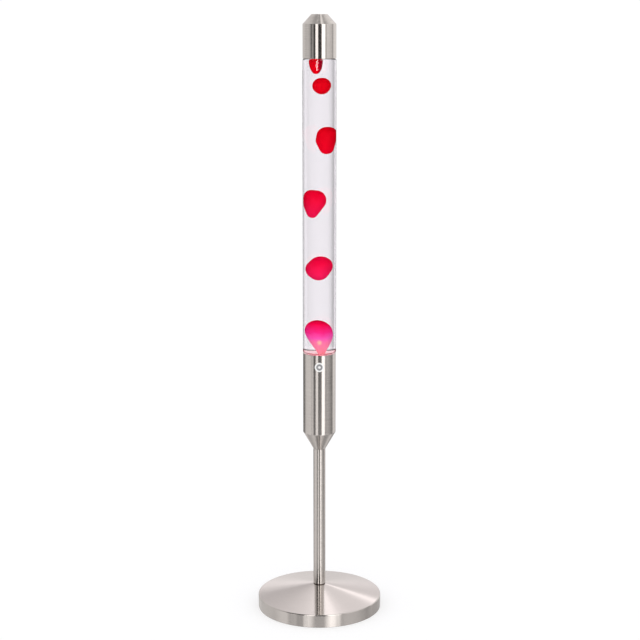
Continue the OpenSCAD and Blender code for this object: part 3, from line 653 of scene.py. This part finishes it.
def glowing_filament():
    """One wire: up a support, along the coil and down the other support."""
    low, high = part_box("capsule_filament")
    half = (high[0] - low[0]) / 2 - SUPPORT_INSET
    axis = high[2] - COIL_DROP
    points = [(-half, 0, low[2]), (-half, 0, axis - SUPPORT_BEND)]
    steps = COIL_TURNS * 12
    for i in range(steps + 1):
        turn = 2 * pi * i / 12
        points.append((half * (2 * i / steps - 1), COIL_RADIUS * sin(turn), axis - COIL_RADIUS * cos(turn)))
    points += [(half, 0, axis - SUPPORT_BEND), (half, 0, low[2])]
    return wire_along("tungsten_coil", points, COIL_WIRE)


def glowing_wire():
    """Tungsten that shines where the coil is and stays dark on the supports."""
    material, tree, shader = shader_of("glowing_tungsten", Metallic=1.0, Roughness=0.4,
                                       Emission_Strength=60.0)
    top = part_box("capsule_filament")[1][2]
    heat = rising(tree, height_of(tree), top - GLOW_FROM, top - GLOW_FULL)
    colour = ramp(tree, heat, [(0.0, (0, 0, 0, 1)), (1.0, (1.0, 0.62, 0.28, 1))])
    tree.links.new(colour, shader.inputs["Emission Color"])
    tree.links.new(ramp(tree, heat, [(0.0, (0.25, 0.24, 0.23, 1)), (1.0, (0.6, 0.5, 0.4, 1))]),
                   shader.inputs["Base Color"])
    return material


def clear_glass(name, tint, refraction, bumps=0.000006):
    """Clear glass or liquid, with a surface that isn't quite flat."""
    material, tree, shader = shader_of(name, Base_Color=(*tint, 1), Roughness=0.0, IOR=refraction,
                                       Transmission_Weight=1.0)
    grain = new_node(tree, "ShaderNodeGroup", {}, node_tree=GRAIN_GROUP)
    grain.inputs["Patches per metre"].default_value = 60.0
    bump = new_node(tree, "ShaderNodeBump", {"Strength": 0.3, "Distance": bumps,
                                             "Height": grain.outputs["Patches"]}).outputs[0]
    tree.links.new(bump, shader.inputs["Normal"])
    return material


fit_out(glowing_filament(), glowing_wire(), "bulb", "tungsten_wire", "capsule_filament")
finish(clear_glass("fused_quartz", (0.97, 0.98, 0.99), 1.46), "capsule_glass")
nickel = grainy("nickel_pins", (0.72, 0.70, 0.66), (0.58, 0.56, 0.52), (0.15, 0.25), 1500, 0.00001,
                metallic=1.0)
finish(nickel, "capsule_pins")


# -------------------------------------------------------------- bottle's seat
# A steel ring is spot-welded inside the housing, and a ring of silicone rubber on it takes
# the weight of the bottle and keeps the glass off the metal.
silicone = grainy("clear_silicone", (0.72, 0.72, 0.69), (0.62, 0.62, 0.59), (0.30, 0.42), 900, 0.00005)
finish(zinc, "support_ring")
finish(silicone, "seat_ring")


# ---------------------------------------------------------------------- bottle
# Drawn borosilicate tube, drawn in at the foot to enter the housing and at the crest to enter
# the cap, with a pressed neck. A crown of tinplate with a liner closes it.
GLASS_WALL = 0.0022
GLASS_FLOOR = 0.004
FOOT_RADIUS = 0.028
CREST_RADIUS = 0.027
FOOT_CORNER = 0.003
CREST_CORNER = 0.006
RIM_GAP = 0.0006
SHELF_RADIUS = 0.0155
NECK_RADIUS = 0.013
LIP = 0.001
LIP_HEIGHT = 0.005
SHELF_TO_TOP = 0.024
FLUTES = 21
FLUTE_WIDTH = 0.52
FLUTE_PRESS = 0.955


def housing_rim():
    """Height of the housing's rim, which the glass stands above."""
    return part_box("lamp_housing")[1][2]


def cap_rim():
    """Height of the cap's lower edge."""
    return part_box("top_cap")[0][2]


def inner_outline(grow):
    """The outline of the space in the glass up to the crest, grown outwards."""
    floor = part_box("bottle_glass")[0][2] + GLASS_FLOOR
    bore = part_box("bottle_glass")[1][0] - GLASS_WALL
    foot, crest = FOOT_RADIUS - GLASS_WALL, CREST_RADIUS - GLASS_WALL
    low_step = housing_rim() + RIM_GAP + (bore - foot) + GLASS_WALL / 2
    high_step = cap_rim() - RIM_GAP - (bore - crest) - GLASS_WALL / 2
    points = [(AXIS, floor - grow)]
    points += arc(foot - FOOT_CORNER, floor + FOOT_CORNER, FOOT_CORNER + grow, -90, 0, 8)
    points += [(foot + grow, low_step - (bore - foot) - grow)]
    points += arc(foot + grow + 0.0001, low_step, bore - foot - 0.0001, -90, 0, 10)
    points += arc(crest + grow + 0.0001, high_step, bore - crest - 0.0001, 0, 90, 10)
    return points + [(crest + grow, high_step + (bore - crest) + grow)]


def glass_bottle():
    """The bottle: outside from the floor to the lip, then the inside back down."""
    low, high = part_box("bottle_glass")
    tube, floor, top = high[0], low[2], high[2]
    shelf = top - SHELF_TO_TOP
    foot_step = housing_rim() + RIM_GAP + (tube - FOOT_RADIUS)
    crest_step = cap_rim() - RIM_GAP - (tube - CREST_RADIUS)
    outside = [(AXIS, floor)]
    outside += arc(FOOT_RADIUS - FOOT_CORNER, floor + FOOT_CORNER, FOOT_CORNER, -90, 0, 8)
    outside += arc(FOOT_RADIUS, foot_step, tube - FOOT_RADIUS, -90, 0, 10)
    outside += arc(CREST_RADIUS, crest_step, tube - CREST_RADIUS, 0, 90, 10)
    outside += arc(CREST_RADIUS - CREST_CORNER, shelf - CREST_CORNER, CREST_CORNER, 0, 90, 10)
    outside += [(SHELF_RADIUS, shelf), (NECK_RADIUS + 0.0008, shelf + 0.0010),
                (NECK_RADIUS, shelf + 0.0025), (NECK_RADIUS, top - LIP_HEIGHT - LIP),
                (NECK_RADIUS + LIP, top - LIP_HEIGHT), (NECK_RADIUS + LIP, top - LIP)]
    outside += arc(NECK_RADIUS, top - LIP, LIP, 0, 90, 4)
    neck = NECK_RADIUS - GLASS_WALL
    ceiling = shelf - GLASS_WALL
    corner = CREST_CORNER - 0.002
    crest = CREST_RADIUS - GLASS_WALL
    inside = inner_outline(0.0)
    inside += arc(crest - corner, ceiling - corner, corner, 0, 90, 8)
    inside += [(neck + 0.001, ceiling), (neck, ceiling + 0.001), (neck, top - 0.0005), (neck + 0.0005, top)]
    return turned("drawn_glass_bottle", outside + inside[::-1])


def fluted_crown():
    """The pressed crown over the lip, its skirt gathered into flutes."""
    low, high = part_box("neck_crown")
    outer, inner = high[0], NECK_RADIUS + LIP + 0.0003
    outline = [(AXIS, high[2]), (inner - 0.0006, high[2]), (inner + 0.0002, high[2] - 0.0005),
               (inner + 0.0004, high[2] - 0.003), (outer, low[2]), (outer - 0.0004, low[2]),
               (inner, high[2] - 0.003), (inner - 0.0002, high[2] - 0.0007), (AXIS, high[2] - 0.0005)]
    crown = turned("fluted_crown", outline, around=168, crease=50)
    bpy.ops.object.mode_set(mode="EDIT")
    bpy.ops.mesh.select_all(action="DESELECT")
    bpy.ops.object.mode_set(mode="OBJECT")
    for corner in crown.data.vertices:
        turn = (crown_angle(corner.co) * FLUTES / (2 * pi)) % 1.0
        corner.select = corner.co.z < low[2] + 0.0005 and abs(turn - 0.5) < FLUTE_WIDTH / 2
    bpy.ops.object.mode_set(mode="EDIT")
    bpy.ops.transform.resize(value=(FLUTE_PRESS, FLUTE_PRESS, 1), center_override=(0, 0, low[2]))
    bpy.ops.object.mode_set(mode="OBJECT")
    return crown


def crown_angle(place):
    """The angle of a place round the axis."""
    return atan2(place.y, place.x) + pi


borosilicate = clear_glass("borosilicate", (0.975, 0.975, 0.985), 1.47)
fit_out(glass_bottle(), borosilicate, "bottle", "bottle_glass", "bottle_glass")
fit_out(fluted_crown(), zinc, "bottle", "zinc_steel", "neck_crown")
finish(nylon, "neck_liner")


# ---------------------------------------------------------------------- liquid
# Clear filling that reaches up to the crest, behind the cap. It is modelled a little larger
# than its space so that the glass and the liquid share one wall.
WETTING = 0.0001


def filling():
    """The liquid, with its level inside the crest."""
    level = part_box("liquid")[1][2]
    outline = inner_outline(WETTING)
    crest = outline[-1][0]
    outline += [(crest, level), (AXIS, level)]
    return turned("clear_filling", outline)


clear_liquid = clear_glass("clear_liquid", (0.985, 0.98, 0.99), 1.34)
fit_out(filling(), clear_liquid, "bottle", "lamp_liquid", "liquid")


# ---------------------------------------------------------------- heating coil
# A spring of bright steel wire bent into a ring. It lies on the glass in the wax bed and
# carries the heat of the lamp into the wax.
SPRING_TURNS = 70
SPRING_WIRE = 0.00045


def heating_coil():
    """The spring, wound round a ring."""
    low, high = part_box("heating_coil")
    tube = (high[2] - low[2]) / 2
    ring = high[0] - tube
    middle = (high[2] + low[2]) / 2
    wound = tube - SPRING_WIRE
    points = []
    for i in range(SPRING_TURNS * 10):
        turn = 2 * pi * i / 10
        along = turn / SPRING_TURNS
        reach = ring + wound * cos(turn)
        points.append((reach * cos(along), reach * sin(along), middle + wound * sin(turn)))
    return wire_along("spring_ring", points, SPRING_WIRE, closed=True)


fit_out(heating_coil(), zinc, "bottle", "zinc_steel", "heating_coil")


# ------------------------------------------------------------------------- wax
# Red paraffin wax. The bed over the heating coil is molten and lit from below; its pink glow is painted
# light, emission and a pink tint for the lamp's light. A bulb of it is about to part from the bed, and
# colder wax floats above in its own deeper red, with a weaker painted glow.
# Painted light: a yellow spot of the lamp's light in the lit wax's emission.
PAINTED_LAMP_SPOT = (1.0, 1.10, 0.42, 1)
# Painted shade on the hanging wax's right side: a darker body colour and a dimmer emission.
PAINTED_SHADE_WAX = (0.46, 0.003, 0.020, 1)
PAINTED_SHADE_GLOW = (0.26, 0.000, 0.008, 1)


def wax(name, stops, glow, spot=None, painted_shade_from=None):
    """Glossy wax whose colour changes with height; stops are (height, colour, light). The light, as
    emission, and the pink low down are painted light from the lamp; spot is a painted spot of that
    light, as (x, height, half width, half height). From the shade height up, painted shade
    darkens the right side, as if in the cap's shadow."""
    material, tree, shader = shader_of(name, Roughness=0.22, IOR=1.08, Emission_Strength=glow)
    place = new_node(tree, "ShaderNodeTexCoord").outputs["Object"]
    x, _, z = new_node(tree, "ShaderNodeSeparateXYZ", {0: place}).outputs
    low, high = stops[0][0], stops[-1][0]
    clouds = new_node(tree, "ShaderNodeTexNoise", {"Vector": place, "Scale": 60.0, "Detail": 4.0}).outputs[0]
    drift = maths(tree, "MULTIPLY", maths(tree, "SUBTRACT", clouds, 0.5), 0.012)
    rise = rising(tree, maths(tree, "ADD", z, drift), low, high)
    body = ramp(tree, rise, [((h - low) / (high - low), (*c, 1)) for h, c, e in stops])
    light = ramp(tree, rise, [((h - low) / (high - low), (*e, 1)) for h, c, e in stops])
    # Painted light: the lamp's yellow spot mixed into the emission.
    if spot:
        across = maths(tree, "DIVIDE", maths(tree, "SUBTRACT", x, spot[0]), spot[2])
        up = maths(tree, "DIVIDE", maths(tree, "SUBTRACT", z, spot[1]), spot[3])
        inside = new_node(tree, "ShaderNodeMapRange", {"Value": distance(tree, across, up), 1: 1.0, 2: 0.15},
                          interpolation_type="SMOOTHSTEP").outputs[0]
        light = mix(tree, inside, light, PAINTED_LAMP_SPOT)
    # Painted shade: the right side of the hanging wax is darker from the given height up, as if in the cap's
    # shadow.
    if painted_shade_from is not None:
        side = rising(tree, x, -0.0030, 0.0004)
        shaded = maths(tree, "MULTIPLY", side, rising(tree, z, painted_shade_from - 0.004, painted_shade_from))
        body = mix(tree, shaded, body, PAINTED_SHADE_WAX)
        light = mix(tree, shaded, light, PAINTED_SHADE_GLOW)
    bump = new_node(tree, "ShaderNodeBump",
                    {"Strength": 0.25, "Distance": 0.0006, "Height": clouds}).outputs[0]
    tree.links.new(body, shader.inputs["Base Color"])
    tree.links.new(light, shader.inputs["Emission Color"])
    tree.links.new(bump, shader.inputs["Normal"])
    return material


BED_TOP_RISE = 0.018
BED_CORNER = 0.003
WAIST = 0.0043
WAIST_SIDE = 0.0027
BULB_RADIUS = 0.0190
BULB_DOME = 0.0232
BULB_SIDE = -0.0010
BULB_LEAN = 0.0018
SWELL_POWER = 0.74
WAX_SKIN = 0.0009
SMOOTHING_PASSES = 24


def wax_column():
    """Bed, waist and rising bulb in one outline; the waist stands a little to the right."""
    low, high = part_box("wax_column")
    floor, top = low[2], high[2]
    bed = floor + BED_TOP_RISE
    wall = FOOT_RADIUS - GLASS_WALL - 0.0002
    middle = top - BULB_DOME
    waist = bed + 0.002
    outline = [(AXIS, floor)] + arc(wall - BED_CORNER, floor + BED_CORNER, BED_CORNER, -90, 0, 6)
    outline += [(wall, bed - 0.0012), (wall - 0.0008, bed - 0.0002), (wall - 0.003, bed),
                (0.011, bed + 0.0001, 0.6 * WAIST_SIDE), (WAIST + 0.0025, bed + 0.0006, WAIST_SIDE),
                (WAIST + 0.0009, bed + 0.0014, WAIST_SIDE),
                (WAIST + 0.0001, waist + 0.0006, WAIST_SIDE)]
    steps = 20
    for i in range(1, steps):
        share = i / steps
        swell = (0.5 - 0.5 * cos(pi * share)) ** SWELL_POWER
        side = WAIST_SIDE + (BULB_SIDE - WAIST_SIDE) * share ** 2
        outline.append((WAIST + (BULB_RADIUS - WAIST) * swell, waist + share * (middle - waist), side))
    for i in range(13):
        angle = radians(7.4 * i)
        outline.append((max(AXIS, BULB_RADIUS * cos(angle)), middle + BULB_DOME * sin(angle),
                        BULB_SIDE - BULB_LEAN * sin(angle)))
    outline[-1] = (AXIS, top, BULB_SIDE - BULB_LEAN)
    return turned("rising_wax", outline, around=96, crease=60)


def molten(name, drops, box):
    """One smooth body of wax drawn tightly round drops of (x, y, z, radius), made to fill a box."""
    parts = []
    for x, y, z, radius in drops:
        bpy.ops.mesh.primitive_uv_sphere_add(segments=40, ring_count=20, radius=radius,
                                             location=(x, y, z))
        parts.append(bpy.context.object)
    bpy.ops.object.select_all(action="DESELECT")
    for part in parts:
        part.select_set(True)
    bpy.context.view_layer.objects.active = parts[0]
    bpy.ops.object.join()
    piece = bpy.context.object
    piece.name = piece.data.name = name
    bpy.ops.object.transform_apply(location=True)
    bpy.ops.object.mode_set(mode="EDIT")
    bpy.ops.mesh.select_all(action="SELECT")
    bpy.ops.mesh.convex_hull()
    bpy.ops.object.mode_set(mode="OBJECT")
    remesh = piece.modifiers.new("even_skin", "REMESH")
    remesh.mode = "VOXEL"
    remesh.voxel_size = WAX_SKIN
    bpy.ops.object.modifier_apply(modifier=remesh.name)
    calm = piece.modifiers.new("surface_tension", "SMOOTH")
    calm.factor = 0.5
    calm.iterations = SMOOTHING_PASSES
    bpy.ops.object.modifier_apply(modifier=calm.name)
    sizes = [high - low for low, high in zip(box[0], box[1])]
    found = [[pick(point.co[axis] for point in piece.data.vertices) for axis in range(3)]
             for pick in (min, max)]
    grow = [size / (high - low) for size, low, high in zip(sizes, found[0], found[1])]
    middle = [(low + high) / 2 for low, high in zip(found[0], found[1])]
    shift = [(low + high) / 2 - m for low, high, m in zip(box[0], box[1], middle)]
    bpy.ops.object.mode_set(mode="EDIT")
    bpy.ops.mesh.select_all(action="SELECT")
    bpy.ops.transform.resize(value=grow, center_override=middle)
    bpy.ops.transform.translate(value=shift)
    bpy.ops.object.mode_set(mode="OBJECT")
    bpy.ops.object.shade_smooth()
    return piece


# Each floating piece as drops in millimetres from the middle of its CAD solid
DROPS = {
    "wax_blob_1": [(0, 0, 14.5, 9.5), (0, 0, 0.5, 9.5), (0, 0, -6.5, 9.0), (0.1, 0, -12.5, 7.9),
                   (0.2, 0, -17.0, 6.3), (0.2, 0, -19.4, 4.9)],
    "wax_blob_2": [(-0.8, 0, 0, 13.2), (1.2, 0, 0.6, 12.8), (0, 0, -1.2, 13.0)],
    "wax_blob_3": [(1.4, 0, 8.6, 14.0), (-0.4, 0, 0, 13.6), (0.5, 0, -13.5, 9.6)],
    "wax_blob_4": [(-4.6, 0, 8.6, 16.0), (3.6, 0, 6.4, 17.4), (-3.8, 0, -13.8, 11.0), (-7.6, 0, 0, 13.4)],
    "wax_blob_5": [(2.6, 0, 3.2, 18.0), (-3.2, 0, -2.4, 17.0), (-0.6, 0, -5.0, 16.5)],
}

# Both waxes glow by painted emission for the lamp's light below and turn pink low down, also painted light;
# the deep red higher up is the wax's own colour.
red_wax = wax("deep_red_wax", [
    (0.62, (0.88, 0.020, 0.120), (1.30, 0.010, 0.16)),
    (0.66, (0.90, 0.003, 0.050), (1.30, 0.000, 0.06)),
    (0.74, (0.90, 0.012, 0.085), (1.30, 0.008, 0.11)),
    (0.78, (0.90, 0.002, 0.030), (1.25, 0.000, 0.04)),
    (0.90, (0.84, 0.001, 0.012), (0.95, 0.000, 0.01)),
    (1.05, (0.84, 0.001, 0.008), (0.90, 0.000, 0.01))], 0.24, painted_shade_from=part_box("wax_blob_1")[0][2])
lit_wax = wax("lit_pink_wax", [
    (0.466, (0.90, 0.260, 0.300), (1.0, 0.35, 0.36)),
    (0.492, (0.90, 0.240, 0.320), (1.0, 0.34, 0.40)),
    (0.500, (0.90, 0.190, 0.320), (1.0, 0.29, 0.44)),
    (0.512, (0.90, 0.150, 0.330), (1.0, 0.22, 0.46)),
    (0.521, (0.90, 0.075, 0.380), (1.0, 0.11, 0.52)),
    (0.531, (0.86, 0.020, 0.190), (1.0, 0.025, 0.28)),
    (0.544, (0.88, 0.003, 0.060), (1.0, 0.001, 0.08)),
    (0.552, (0.66, 0.002, 0.024), (0.6, 0.000, 0.02))], 0.42, spot=(0.0, 0.512, 0.0052, 0.0068))

fit_out(wax_column(), lit_wax, "bottle", "lit_wax", "wax_column")
for number in range(1, 6):
    node = f"wax_blob_{number}"
    low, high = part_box(node)
    centre = [(a + b) / 2 for a, b in zip(low, high)]
    drops = [(centre[0] + 0.001 * x, centre[1] + 0.001 * y, centre[2] + 0.001 * z, 0.001 * r)
             for x, y, z, r in DROPS[node]]
    fit_out(molten(f"floating_wax_{number}", drops, (low, high)), red_wax, f"wax_{number}", "red_wax", node)


# ------------------------------------------------------------------------- cap
# A stainless tube closed by a spun cone with a flat top, brushed round like the housing. A
# black nylon ring pressed into it grips the crest of the glass and rests on its shelf.
CAP_CONE = 0.017
CAP_FLAT = 0.0144


def top_cap():
    """The cap from its flat top down to the rounded rim, and its inner skin."""
    low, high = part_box("top_cap")
    radius, rim, top = high[0], low[2], high[2]
    bend = top - CAP_CONE
    slope = (radius - CAP_FLAT) / CAP_CONE
    skin = SHEET * sqrt(1 + slope * slope)
    soft = SOFT_EDGE
    outline = [(AXIS, top), (CAP_FLAT - soft, top), (CAP_FLAT - 0.1 * soft, top - 0.15 * soft / slope),
               (CAP_FLAT + 0.8 * slope * soft, top - 0.8 * soft),
               (radius - 0.8 * slope * soft, bend + 0.8 * soft), (radius - 0.1 * soft, bend + 0.05 * soft),
               (radius, bend - soft)]
    outline += arc(radius - SHEET / 2, rim + SHEET / 2, SHEET / 2, 0, -180, 10)
    outline += [(radius - SHEET, bend - (skin - SHEET) / slope),
                (CAP_FLAT + slope * SHEET - skin, top - SHEET), (AXIS, top - SHEET)]
    return turned("brushed_top_cap", outline)


fit_out(top_cap(), body_steel, "cap", "brushed_stainless", "top_cap")
black_nylon = grainy("black_nylon", (0.040, 0.040, 0.042), (0.026, 0.026, 0.027), (0.35, 0.50), 1500,
                     0.00004)
finish(black_nylon, "cap_liner")
